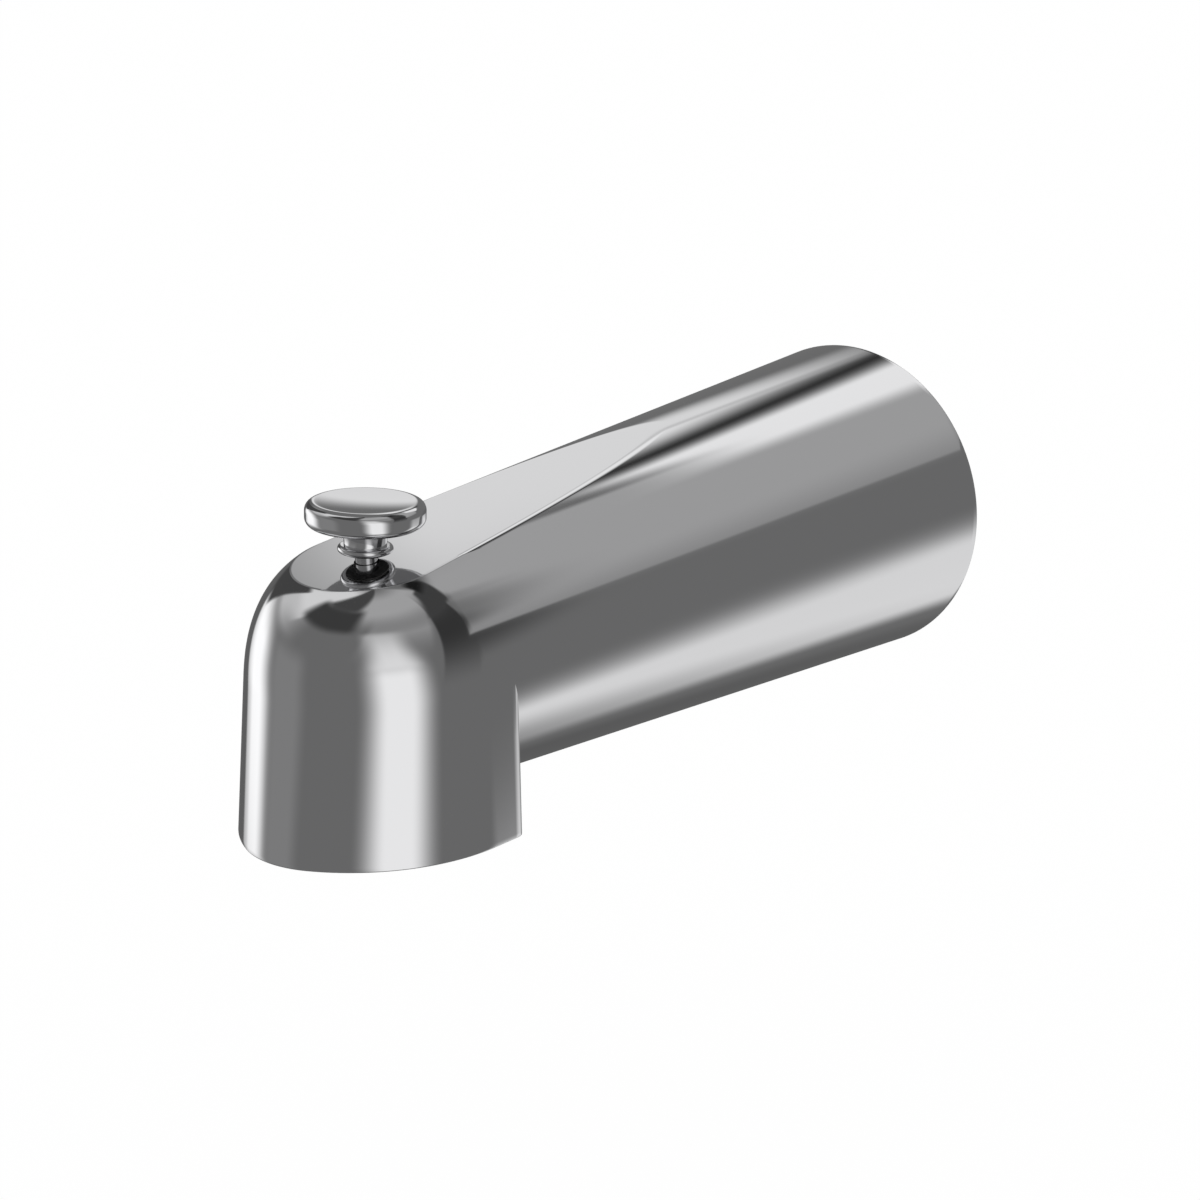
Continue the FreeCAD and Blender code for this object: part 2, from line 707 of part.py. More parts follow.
def gate():
    """Moulded carrier with a slot for the rod, and a wider pocket for the rod's head."""
    middle = gate_middle()
    low = middle - GATE_HEIGHT / 2
    high = middle + GATE_HEIGHT / 2
    half = GATE_DEPTH / 2
    body = box_on_stem(GATE_WIDTH / 2, half, -half, low, high)
    corners = []
    for edge in body.Edges:
        if abs(edge.Vertexes[0].Z - edge.Vertexes[1].Z) > GATE_HEIGHT / 2:
            corners.append(edge)
    body = body.makeFillet(GATE_CORNER, corners)
    slip = ROD_RADIUS + SLIP
    slot = box_on_stem(slip, 0, -GATE_DEPTH, low - 1, high + 1)
    slot = slot.fuse(Part.makeCylinder(slip, GATE_HEIGHT + 2, Vector(0, 0, low - 1)))
    head = ROD_HEAD_RADIUS + SLIP
    seat = middle - GATE_HEIGHT / 4
    pocket = box_on_stem(head, 0, -GATE_DEPTH, low - 1, seat)
    pocket = pocket.fuse(Part.makeCylinder(head, seat - low + 1, Vector(0, 0, low - 1)))
    return on_stem(body.cut(slot).cut(pocket))


def gate_seal():
    """Rubber disc on the back of the gate."""
    face = GATE_DEPTH / 2
    centre = Vector(0, face, gate_middle())
    disc = Part.makeCylinder(SEAL_RADIUS, SEAL_THICKNESS, centre, Vector(0, 1, 0))
    rim = [e for e in disc.Edges if abs(e.CenterOfMass.y - face - SEAL_THICKNESS) < 0.01]
    return on_stem(disc.makeFillet(SEAL_EDGE, rim))


def guide_face():
    """Depth of the seat that the seal slides on."""
    return GATE_DEPTH / 2 + SEAL_THICKNESS + GATE_GAP


def gate_guide():
    """Moulded channel that the gate slides in, screwed to the front of the web."""
    cheek_in = GATE_WIDTH / 2 + GATE_GAP
    front = -GATE_DEPTH / 2 - GATE_GAP - GUIDE_LIP
    back = guide_face()
    low = gate_middle() - GATE_HEIGHT / 2 - GATE_GAP - GUIDE_WALL
    high = port_height() + SEAL_RADIUS + GUIDE_HEAD
    behind = back + 3 * SHELL_WALL + GUIDE_WALL
    block = box_on_stem(cheek_in + GUIDE_WALL, behind, front, low, high)
    channel = box_on_stem(cheek_in, back, front + GUIDE_LIP, low + GUIDE_WALL, high + 1)
    mouth = box_on_stem(GATE_WIDTH * GUIDE_MOUTH, back, front - 1, low - 1, high + 1)
    block = on_stem(block.cut(channel).cut(mouth))
    for side in (-1, 1):
        wide = GUIDE_EAR + GUIDE_WALL
        left = side * (guide_ear_x() - GUIDE_WALL / 2) - wide / 2
        corner = at(left, WEB_FRONT + GUIDE_EAR_THICKNESS, GUIDE_EAR_Z - GUIDE_EAR_HEIGHT / 2)
        block = block.fuse(Part.makeBox(wide, GUIDE_EAR_THICKNESS, GUIDE_EAR_HEIGHT, corner))
    for side in (-1, 1):
        end = WEB_FRONT + 3 * GUIDE_EAR_THICKNESS
        x = side * guide_ear_x()
        block = block.cut(rod_along(SCREW_RADIUS + SLIP, NOSE_BACK, end, x, GUIDE_EAR_Z))
    wide = 4 * WALL_RADIUS
    behind_web = Part.makeBox(wide, WALL_RADIUS, wide, at(-wide / 2, WEB_FRONT, -wide / 2))
    block = block.cut(behind_web).cut(port_along(PORT_RADIUS, NOSE_BACK, STEM_REACH))
    outer = PORT_RADIUS + GASKET_RING * 2 + SLIP
    inner = PORT_RADIUS + GASKET_RING - SLIP
    end = WEB_FRONT + GASKET_THICKNESS
    return block.cut(port_ring(outer, inner, WEB_FRONT - OVERRUN, end)).removeSplitter()


def guide_gasket():
    inner = PORT_RADIUS + GASKET_RING
    return port_ring(inner + GASKET_RING, inner, WEB_FRONT, WEB_FRONT + GASKET_THICKNESS)


def pieces():
    """Every separate piece, by its node's name."""
    guide_seat = WEB_FRONT + GUIDE_EAR_THICKNESS
    pipe_ring = PIPE_BORE_RADIUS + SLIP / 2
    spigot_ring = TUBE_INNER - SPIGOT_CORD - SLIP / 2
    made = {
        "spout_body": spout_body(),
        "wall_gasket": wall_gasket(),
        "wall_insert": wall_insert(),
        "inlet_adapter": inlet_adapter(),
        "adapter_circlip": adapter_circlip(),
        "pipe_o_ring_outer": o_ring_along(pipe_ring, PIPE_CORD, PIPE_RING_FIRST),
        "pipe_o_ring_inner": o_ring_along(pipe_ring, PIPE_CORD, PIPE_RING_SECOND),
        "clamp_ring": clamp_ring(),
        "set_screw": set_screw(),
        "spigot_o_ring": o_ring_along(spigot_ring, SPIGOT_CORD, SPIGOT_RING),
        "waterway_tube": waterway_tube(),
        "tube_o_ring": o_ring_along(TUBE_RADIUS + SLIP / 2, TUBE_CORD, tube_ring_centre()),
        "gate_guide": gate_guide(),
        "guide_gasket": guide_gasket(),
        "rod_gland": rod_gland(),
        "rod_o_ring": rod_o_ring(),
        "diverter_knob": diverter_knob(),
        "lift_rod": lift_rod(),
        "rod_clip": rod_clip(),
        "gate": gate(),
        "gate_seal": gate_seal(),
    }
    for name, side in (("left", -1), ("right", 1)):
        made["insert_screw_" + name] = screw(side * insert_screw_x(), 0, INSERT_BACK, 1)
        made["guide_screw_" + name] = screw(side * guide_ear_x(), GUIDE_EAR_Z, guide_seat, -1)
    return made


os.makedirs("parts", exist_ok=True)
for name, shape in pieces().items():
    solid = shape.Solids[0] if len(shape.Solids) == 1 else shape
    volume = round(shape.Volume, 1)
    print(name, "solids", len(shape.Solids), "valid", shape.isValid(), "volume", volume)
    solid.exportStep("parts/" + name + ".step")
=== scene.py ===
"""Looks of a slip-on bath spout with a pull-up diverter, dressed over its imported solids.

Lengths are metres in the part's own frame: the origin is the centre of the wall end,
the barrel reaches out along -Y, and "reach" is the distance from the wall.
"""
import math

import bmesh
import bpy
import numpy as np
from mathutils import Matrix, Vector


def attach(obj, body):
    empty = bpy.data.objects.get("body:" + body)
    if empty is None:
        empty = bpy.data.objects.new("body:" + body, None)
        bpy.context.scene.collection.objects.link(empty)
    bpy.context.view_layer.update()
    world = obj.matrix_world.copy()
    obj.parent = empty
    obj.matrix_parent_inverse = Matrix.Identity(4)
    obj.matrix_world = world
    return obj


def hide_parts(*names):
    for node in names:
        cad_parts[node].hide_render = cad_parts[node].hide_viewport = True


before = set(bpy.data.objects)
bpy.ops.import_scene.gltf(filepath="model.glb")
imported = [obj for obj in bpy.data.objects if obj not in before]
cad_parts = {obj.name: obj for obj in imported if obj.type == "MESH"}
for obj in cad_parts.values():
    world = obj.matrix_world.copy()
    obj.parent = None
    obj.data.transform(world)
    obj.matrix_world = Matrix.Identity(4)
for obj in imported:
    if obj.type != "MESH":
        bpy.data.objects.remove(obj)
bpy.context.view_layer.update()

# Spout body, outside
# A die casting in zinc, ground and polished, then chrome plated on the outside.
# A cone carries the waterway, the nose hangs from its end, and a flat is ground across the top.

WALL_RADIUS = 0.030
NOSE_RADIUS = 0.0232
NOSE_BACK = 0.1238
TAPER = (WALL_RADIUS - NOSE_RADIUS) / NOSE_BACK
SHELL_WALL = 0.003
NOSE_DEPTH = 0.02692
NOSE_TIP = 0.16025
NOSE_FOOT = 0.02365
FRONT_DRAFT = math.tan(math.radians(6.05))
SIDE_END = 0.134
ROUND_LOW = 1.216
ROUND_AXIS = 1.15
ROUND_HIGH = 1.02
ROUND_POWER = 2.17
DOME_REACH = 0.137
DOME_HEIGHT = 0.02076
DOME_POWER = 2.37
CORNER = 0.002
FACET_START = 0.0612
FACET_LOW = 0.01997
FACET_SLOPE = (WALL_RADIUS - TAPER * FACET_START - FACET_LOW) / (NOSE_BACK - FACET_START)
STEM_REACH = 0.13603
STEM_LEAN = math.radians(4.4)
FOOT_ROUND = 0.00025
RIM_ROUND = 0.0003
RIM_INNER = 0.0286
ROD_HOLE = 0.00209
KEY_REACH = 0.0065
KEY_RADIUS = 0.0032
SQUARE_END = 0.0133
SQUARE_TURN = 0.22
EDGE_RING = 0.055
EDGE_RIM = 0.0004

# Columns of the barrel from its top to its bottom: beside the facet, down to the axis, round
# the nose's corner, under the barrel, and across the square that holds the key hole.
TOP_COLUMNS = 70
SIDE_COLUMNS = 50
CORNER_COLUMNS = 24
BELOW_COLUMNS = 60
SQUARE_COLUMNS = 16
AXIS_END = TOP_COLUMNS + SIDE_COLUMNS
CORNER_END = AXIS_END + CORNER_COLUMNS
SQUARE_ROWS = 13


def barrel_radius(reach):
    """The barrel's radius falls in a straight line with the reach."""
    return WALL_RADIUS - TAPER * reach


def facet_height(reach):
    """The facet falls in a straight line with the reach, from the top of the barrel."""
    return barrel_radius(FACET_START) - FACET_SLOPE * (reach - FACET_START)


def half_width(reach, z, inset=0.0):
    """Above the axis a chord of the barrel's circle, below it a straight line down to the foot."""
    radius = barrel_radius(reach) - inset
    above = np.sqrt(np.maximum(radius ** 2 - np.maximum(z, 0) ** 2, 0))
    below = radius + (NOSE_FOOT - inset - radius) * -z / NOSE_DEPTH
    return np.where(z > 0, above, below)


def nose_front(z, inset=0.0):
    """Reach of the front's middle: a drafted line, which a superellipse closes above the axis."""
    front = NOSE_TIP - inset - (z + NOSE_DEPTH) * FRONT_DRAFT
    share = np.clip(z / (DOME_HEIGHT - inset), 0, 1) ** DOME_POWER
    return DOME_REACH + (front - DOME_REACH) * (1 - share) ** (1 / DOME_POWER)


def nose_outline(z, along, inset=0.0):
    """Right half of the nose's level outline, from the corner at its back to its middle.

    From 0 to 1 it runs along the side, from 1 to 2 round the flank's arc, and from 2 to 3
    round the tip's arc. The arcs are tangent to each other and to the side. The round's
    length over its half width falls in a straight line from the foot to the axis, and above it
    with the height squared. The tip's radius is the half width times a power of the inverse.
    """
    front = nose_front(z, inset)
    behind = half_width(SIDE_END - 0.001, z, inset)
    ahead = half_width(SIDE_END + 0.001, z, inset)
    slope = (behind - ahead) / 0.002
    above = (ROUND_HIGH - ROUND_AXIS) * (np.maximum(z, 0) / FACET_LOW) ** 2
    below = (ROUND_LOW - ROUND_AXIS) * np.maximum(-z, 0) / NOSE_DEPTH
    length = ROUND_AXIS + above + below
    start = front - (behind + ahead) / 2 * (length - slope)
    width = half_width(start, z, inset)
    lean = np.arctan(slope)
    circle = width / np.cos(lean)
    tip = circle * (circle / (front - start + width * slope)) ** ROUND_POWER
    tip_y = front - tip
    over = tip_y - start
    spare = width * np.cos(lean) - over * np.sin(lean) - tip
    flank = (width ** 2 + over ** 2 - tip ** 2) / (2 * spare)
    flank_x = width - flank * np.cos(lean)
    flank_y = start - flank * np.sin(lean)
    turn = np.arctan2(tip_y - flank_y, -flank_x)
    side = NOSE_BACK + inset + corner_radius(inset)
    reach = side + (start - side) * np.clip(along, 0, 1)
    flank_turn = lean + (turn - lean) * np.clip(along - 1, 0, 1)
    tip_turn = turn + (math.pi / 2 - turn) * np.clip(along - 2, 0, 1)
    x = np.where(along > 1, flank_x + flank * np.cos(flank_turn), half_width(reach, z, inset))
    y = np.where(along > 1, flank_y + flank * np.sin(flank_turn), reach)
    x = np.where(along > 2, tip * np.cos(tip_turn), x)
    y = np.where(along > 2, tip_y + tip * np.sin(tip_turn), y)
    return x, y


def corner_radius(inset):
    """The round at the nose's back corners shrinks with the inset."""
    return np.maximum(CORNER - inset, 0.0004)


def nose_corner(z, turn, inset=0.0):
    """Round corner at the nose's back: turn 0 is its back, and a quarter turn is its side."""
    radius = corner_radius(inset)
    side = NOSE_BACK + inset + radius
    x = half_width(side, z, inset) - radius + radius * np.sin(turn)
    return x, side - radius * np.cos(turn)


def points(x, reach, z):
    """Three arrays that broadcast together, stacked into points of the part's frame."""
    x, reach, z = np.broadcast_arrays(x, reach, z)
    return np.stack([x, -reach, z], -1)


def between(start, end, count):
    """Evenly spaced values without the first, to carry on a list of values."""
    return np.linspace(start, end, count + 1)[1:]


def bisected(outside, low, high):
    """Where a test on arrays changes, found by halving: it is false at low and true at high."""
    for _ in range(50):
        middle = (low + high) / 2
        found = outside(middle)
        low = np.where(found, low, middle)
        high = np.where(found, middle, high)
    return (low + high) / 2


def patch(grid, inside, part=0):
    """Quads of a grid of points, turned to face away from a point inside the object."""
    rows, columns = grid.shape[:2]
    corner = np.arange(rows - 1)[:, None] * columns + np.arange(columns - 1)
    quads = corner.reshape(-1, 1) + np.array([0, 1, columns + 1, columns])
    flat = grid.reshape(-1, 3)
    normal = np.cross(flat[quads[:, 2]] - flat[quads[:, 0]], flat[quads[:, 3]] - flat[quads[:, 1]])
    if ((flat[quads].mean(1) - inside) * normal).sum() < 0:
        quads = quads[:, ::-1]
    return flat, quads, part


def both_sides(grid, inside, part=0):
    """A patch of the right half, and its mirror image in X."""
    mirror = np.array([-1, 1, 1])
    return [patch(grid, np.array(inside), part), patch(grid * mirror, inside * mirror, part)]


def surface(name, patches, body, material):
    """Object made of patches whose borders meet.

    Edges between parts whose numbers are neighbours stay smooth. Edges between other parts
    are sharp.
    """
    starts = np.cumsum([0] + [len(corners) for corners, _, _ in patches])
    corners = np.concatenate([corners for corners, _, _ in patches])
    quads = np.concatenate([quads + start for (_, quads, _), start in zip(patches, starts)])
    parts = np.concatenate([np.full(len(quads), part) for _, quads, part in patches])
    mesh = bpy.data.meshes.new(name)
    mesh.from_pydata(corners, [], quads)
    mesh.attributes.new("part", "INT", "FACE").data.foreach_set("value", parts)
    shape = bmesh.new()
    shape.from_mesh(mesh)
    bmesh.ops.remove_doubles(shape, verts=shape.verts, dist=1e-6)
    shape.to_mesh(mesh)
    shape.free()
    return finished(mesh, name, body, material)


def finished(mesh, name, body, material):
    """Sharp edges where parts meet, smooth faces elsewhere, and an object on its body."""
    part = np.empty(len(mesh.polygons), np.int32)
    sides = np.empty(len(mesh.polygons), np.int32)
    edge = np.empty(len(mesh.loops), np.int32)
    mesh.attributes["part"].data.foreach_get("value", part)
    mesh.polygons.foreach_get("loop_total", sides)
    mesh.loops.foreach_get("edge_index", edge)
    low = np.full(len(mesh.edges), 1000)
    high = np.full(len(mesh.edges), -1000)
    np.minimum.at(low, edge, np.repeat(part, sides))
    np.maximum.at(high, edge, np.repeat(part, sides))
    mesh.polygons.foreach_set("use_smooth", np.ones(len(part), bool))
    mesh.edges.foreach_set("use_edge_sharp", high - low > 1)
    mesh.materials.append(material)
    piece = bpy.data.objects.new(name, mesh)
    bpy.context.scene.collection.objects.link(piece)
    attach(piece, body)
    return piece


class Wire:
    """A socket that takes part in sums: a + b, 1 - a and a * b each add a Math node."""

    def __init__(self, tree, socket):
        self.tree = tree
        self.socket = socket

    def sum(self, operation, *values):
        return self.node("ShaderNodeMath", {"operation": operation}, dict(enumerate(values)))

    def __add__(self, other):
        return self.sum("ADD", self, other)

    def __radd__(self, other):
        return self.sum("ADD", other, self)

    def __sub__(self, other):
        return self.sum("SUBTRACT", self, other)

    def __rsub__(self, other):
        return self.sum("SUBTRACT", other, self)

    def __mul__(self, other):
        return self.sum("MULTIPLY", self, other)

    def __rmul__(self, other):
        return self.sum("MULTIPLY", other, self)

    def __pow__(self, other):
        return self.sum("POWER", self, other)

    def node(self, kind, settings, values, output=0):
        """Adds a node: its settings first, then the values or links of its sockets."""
        made = self.tree.nodes.new(kind)
        for setting, value in settings.items():
            if setting == "stops":
                ramp = made.color_ramp
                while len(ramp.elements) < len(value):
                    ramp.elements.new(0.5)
                for element, (position, colour) in zip(ramp.elements, value):
                    element.position = position
                    element.color = colour
            else:
                setattr(made, setting, value)
        for socket, value in values.items():
            if isinstance(value, Wire):
                self.tree.links.new(value.socket, made.inputs[socket])
            else:
                made.inputs[socket].default_value = value
        return Wire(self.tree, made.outputs[output] if made.outputs else None)


def new_material(name):
    """Empty node tree with object coordinates at hand."""
    material = bpy.data.materials.new(name)
    material.use_nodes = True
    tree = material.node_tree
    tree.nodes.clear()
    place = Wire(tree, None).node("ShaderNodeTexCoord", {}, {}, "Object")
    return material, place


def close_material(place, values):
    """Adds the principled shader and the output, last."""
    shader = place.node("ShaderNodeBsdfPrincipled", {}, values)
    place.node("ShaderNodeOutputMaterial", {}, {"Surface": shader})


def noise(place, scale, detail=3.0):
    """Clouds of about one over the scale in size, in metres."""
    return place.node("ShaderNodeTexNoise", {}, {"Vector": place, "Scale": scale, "Detail": detail})


chrome, place = new_material("polished chrome")
wipe = noise(place, 45.0)
grain = noise(place, 900.0, 5.0)
close_material(place, {
    "Base Color": (0.80, 0.80, 0.81, 1),
    "Metallic": 1.0,
    "Roughness": 0.03 + wipe * 0.03 + grain * 0.01,
})

# The barrel's edge runs along the facet, then down the nose's corner and round its back.
# Its columns are crowded below the facet, where the dome curves most.
side_reach = NOSE_BACK + CORNER
facet_turn = math.acos(facet_height(side_reach) / barrel_radius(side_reach))
low_z = -0.0077
for _ in range(20):
    low_z = -math.sqrt(NOSE_RADIUS ** 2 - float(nose_corner(low_z, 0)[0]) ** 2)
corner_z = low_z * np.sin(between(0, math.pi / 2, CORNER_COLUMNS))


def off_barrel(turn):
    """True where the nose's corner stands out of the barrel."""
    x, reach = nose_corner(corner_z, turn)
    return x ** 2 + corner_z ** 2 > barrel_radius(reach) ** 2


corner_turn = bisected(off_barrel, np.zeros(CORNER_COLUMNS), np.full(CORNER_COLUMNS, math.pi / 2))
corner_turn[-1] = 0
corner_x, corner_reach = nose_corner(corner_z, corner_turn)
low_turn = math.atan2(corner_x[-1], corner_z[-1])
square_turn = math.pi - SQUARE_TURN
turn = np.concatenate([
    np.linspace(0, facet_turn, TOP_COLUMNS),
    facet_turn + (math.pi / 2 - facet_turn) * between(0, 1, SIDE_COLUMNS) ** 1.3,
    np.arctan2(corner_x, corner_z),
    between(low_turn, square_turn, BELOW_COLUMNS),
    between(square_turn, math.pi, SQUARE_COLUMNS),
])
edge_slope = FACET_SLOPE - TAPER * np.cos(turn)
end = FACET_START + barrel_radius(FACET_START) * (1 - np.cos(turn)) / edge_slope
end[TOP_COLUMNS - 1:AXIS_END] = side_reach
end[AXIS_END:CORNER_END] = corner_reach
end[CORNER_END:] = NOSE_BACK

# Rows from the wall to that edge. One of them closes the square round the key hole, and the
# last but one keeps off the edge, so that the step down to the nose stays crisp.
share = (SQUARE_END - RIM_ROUND) / (NOSE_BACK - RIM_ROUND)
run = np.concatenate([np.linspace(0, share, SQUARE_ROWS), between(share, 0.955, 39), [1]])[:, None]
reach = RIM_ROUND + run * (end - RIM_ROUND)
barrel = points(barrel_radius(reach) * np.sin(turn), reach, barrel_radius(reach) * np.cos(turn))
fall = np.linspace(math.pi / 2, 0, 6)[:, None]
rim_radius = barrel_radius(RIM_ROUND) - RIM_ROUND * (1 - np.cos(fall))
rim_radius = np.concatenate([[[RIM_INNER]], rim_radius])
rim_reach = np.concatenate([[[0]], RIM_ROUND * (1 - np.sin(fall))])
rim = points(rim_radius * np.sin(turn), rim_reach, rim_radius * np.cos(turn))
in_barrel = (0, -0.06, 0)
patches = both_sides(rim, in_barrel)
patches += both_sides(barrel[:SQUARE_ROWS, :-SQUARE_COLUMNS], in_barrel)
patches += both_sides(barrel[SQUARE_ROWS - 1:], in_barrel)

# Square round the key hole: rays in plan from the hole to the square's border.
border = np.concatenate([
    barrel[0, -SQUARE_COLUMNS - 1:][::-1],
    barrel[1:SQUARE_ROWS, -SQUARE_COLUMNS - 1],
    barrel[SQUARE_ROWS - 1, -SQUARE_COLUMNS:],
])
offset = border[:, :2] - [0, -KEY_REACH]
circle = KEY_RADIUS * offset / np.linalg.norm(offset, axis=1)[:, None]
plan = circle + (offset - circle) * np.linspace(0, 1, 8)[:, None, None]
x = plan[..., 0]
reach = KEY_REACH - plan[..., 1]
patches += both_sides(points(x, reach, -np.sqrt(barrel_radius(reach) ** 2 - x ** 2)), in_barrel)

# Nose above the axis: level rows that fan out from its side to the facet's edge.
along = np.concatenate([np.linspace(0, 1, 9), 1 + between(0, 1, 30), 2 + between(0, 1, 20)])


def above_facet(z):
    """True where the nose's outline at this height lies above the facet."""
    return z > facet_height(nose_outline(z, along)[1])


top_z = bisected(above_facet, np.zeros(len(along)), np.full(len(along), DOME_HEIGHT * 0.9999))
level = top_z * np.cos(turn[TOP_COLUMNS - 1:AXIS_END, None]) / math.cos(facet_turn)
level[-1] = 0
x, reach = nose_outline(level, along)
upper = points(x, reach, level)
in_nose = (0, -0.13, -0.005)
patches += both_sides(upper, in_nose, 1)

# Nose below the axis, down to its rounded foot and the foot's flat ring.
foot_z = FOOT_ROUND - NOSE_DEPTH
fall = between(0, math.pi / 2, 5)
straight_z = np.concatenate([[0], corner_z, between(low_z, foot_z, 30)])
z = np.concatenate([straight_z, foot_z - FOOT_ROUND * np.sin(fall), [-NOSE_DEPTH]])[:, None]
inset = np.concatenate([straight_z * 0, FOOT_ROUND * (1 - np.cos(fall)), [SHELL_WALL]])[:, None]
first_turn = np.zeros((len(z), 1))
first_turn[:CORNER_COLUMNS + 1, 0] = np.append(math.pi / 2, corner_turn)
corner_turns = first_turn + (math.pi / 2 - first_turn) * np.linspace(0, 1, 7)
corner_x, corner_reach = nose_corner(z, corner_turns, inset)
side_x, side_y = nose_outline(z, along[1:], inset)
x = np.concatenate([corner_x, side_x], 1)
reach = np.concatenate([corner_reach, side_y], 1)
lower = points(x, reach, z)
patches += both_sides(lower[:-1], in_nose, 2)
patches += both_sides(lower[-2:], in_nose, 3)

# Flat back of the nose, from the barrel down to the foot.
drop = (z[CORNER_COLUMNS:] - low_z) / (foot_z - low_z)
circle_x = NOSE_RADIUS * np.sin(turn[CORNER_END - 1:])
circle_z = NOSE_RADIUS * np.cos(turn[CORNER_END - 1:])
level = np.where(drop < 1, circle_z + (foot_z - circle_z) * drop, z[CORNER_COLUMNS:])
wide, reach = nose_corner(level, 0, inset[CORNER_COLUMNS:])
wide_at_circle, _ = nose_corner(circle_z, 0)
back = points(circle_x / wide_at_circle * wide, reach, level)
patches += both_sides(back[:-1], in_nose, 2)
patches += both_sides(back[-2:], in_nose, 3)

# Facet: rays from the rod's hole to the edge that barrel and nose share, and the hole's wall.
# Its border is shaded smooth across a ring, as polishing leaves the edge. The ring is a share
# of each ray along the barrel, and a fixed width along the nose, where the edge looks crisper.
border = np.concatenate([barrel[-1, :TOP_COLUMNS], upper[0, 1:]])
offset = border[:, :2] - [0, -STEM_REACH]
length = np.linalg.norm(offset, axis=1)
circle = ROD_HOLE * offset / length[:, None]
edge_share = np.where(np.arange(len(border)) < TOP_COLUMNS, EDGE_RING, EDGE_RIM / length)
run = np.linspace(0, 1, 12)[:, None] ** 1.6 * (1 - edge_share)
run = np.concatenate([run, np.ones((1, len(border)))])[..., None]
plan = circle + (offset - circle) * run
x = plan[..., 0]
reach = STEM_REACH - plan[..., 1]
facet = points(x, reach, facet_height(reach))
patches += both_sides(facet, in_barrel, 1)
wall = facet[:1] + np.array([0, math.sin(STEM_LEAN), -math.cos(STEM_LEAN)]) * [[[0]], [[0.0015]]]
patches += both_sides(wall, (0.01, -STEM_REACH, 0.018), 9)

spout_shell = surface("spout_shell", patches, "spout", chrome)
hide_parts("spout_body")

# Spout body, inside
# The plating stops at the edges: the hollows show the raw zinc casting, with its bosses.
# This is the solid's own inner wall, without the faces that the polished outside covers.

casting, place = new_material("raw casting")
cloud = noise(place, 120.0)
pit = noise(place, 2200.0, 6.0)
tone = cloud.node("ShaderNodeValToRGB", {"stops": [
    (0.3, (0.33, 0.33, 0.34, 1)),
    (0.7, (0.45, 0.45, 0.45, 1)),
]}, {"Fac": cloud})
close_material(place, {
    "Base Color": tone,
    "Metallic": 0.85,
    "Roughness": 0.42 + cloud * 0.16,
    "Normal": pit.node("ShaderNodeBump", {}, {"Strength": 0.35, "Distance": 0.00008, "Height": pit}),
})


def beyond_wall(x, reach, z):
    """Faces nearer to the nose's outside than to its hollow: past a level outline inside the wall."""
    inset = SHELL_WALL * 0.45
    steps = np.linspace(0, 3, 160)
    below_dome = np.minimum(z, 0.0188)
    line_x, line_y = nose_outline(below_dome[:, None], steps, inset)
    gap = np.hypot(line_x - np.abs(x)[:, None], line_y - reach[:, None])
    nearest = gap.argmin(1)[:, None]
    line_x = np.take_along_axis(line_x, nearest, 1)[:, 0]
    line_y = np.take_along_axis(line_y, nearest, 1)[:, 0]
    hollow_middle = 0.13
    past = np.hypot(x, reach - hollow_middle) > np.hypot(line_x, line_y - hollow_middle)
    off_web = (np.abs(x) > 0.0195) | (reach > 0.128)
    return past & (reach > NOSE_BACK) & off_web


shape = bmesh.new()
shape.from_mesh(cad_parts["spout_body"].data)
bmesh.ops.remove_doubles(shape, verts=shape.verts, dist=1e-6)
middle = np.array([face.calc_center_median() for face in shape.faces])
x = middle[:, 0]
reach = -middle[:, 1]
z = middle[:, 2]
radius = np.hypot(x, z)
on_cone = (np.abs(radius - barrel_radius(reach)) < 0.0003) & (reach < 0.127 + 0.008 * (z > 0))
on_facet = (np.abs(z - facet_height(reach)) < 0.0002) & (reach > FACET_START)
hair = 1e-5
on_back = (np.abs(reach - NOSE_BACK) < hair) & (radius > NOSE_RADIUS - 0.0014)
on_ends = (reach < hair) | (np.abs(z + NOSE_DEPTH) < hair)
covered = on_cone | on_facet | on_back | on_ends | beyond_wall(x, reach, z)
outer = [face for face, gone in zip(shape.faces, covered) if gone]
bmesh.ops.delete(shape, geom=outer, context="FACES")
mesh = bpy.data.meshes.new("spout_inside")
shape.to_mesh(mesh)
shape.free()
mesh.materials.append(casting)
mesh.shade_smooth()
mesh.set_sharp_from_angle(angle=math.radians(30))
spout_inside = bpy.data.objects.new("spout_inside", mesh)
bpy.context.scene.collection.objects.link(spout_inside)
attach(spout_inside, "spout")
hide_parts("spout_body")

# Mouldings
# Wall insert, waterway tube, gate guide and gate, moulded in a white acetal plastic.
# The surface is matt, with faint flow marks from the mould.

moulding, place = new_material("white acetal")
flow = noise(place, 160.0)
grain = noise(place, 4000.0, 2.0)
tone = flow.node("ShaderNodeValToRGB", {"stops": [
    (0.3, (0.77, 0.77, 0.74, 1)),
    (0.7, (0.84, 0.84, 0.81, 1)),
]}, {"Fac": flow})
close_material(place, {
    "Base Color": tone,
    "Roughness": 0.38 + flow * 0.14,
    "Normal": grain.node("ShaderNodeBump", {}, {"Strength": 0.2, "Distance": 0.00004, "Height": grain}),
})
for name in ("wall_insert", "waterway_tube", "gate_guide", "gate"):
    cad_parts[name].data.materials.clear()
    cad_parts[name].data.materials.append(moulding)

# Brass parts
# Inlet adapter, clamp ring and rod gland, turned from brass bar.
# The tool leaves fine rings round the barrel's axis, and handling leaves a few dull spots.

brass, place = new_material("turned brass")

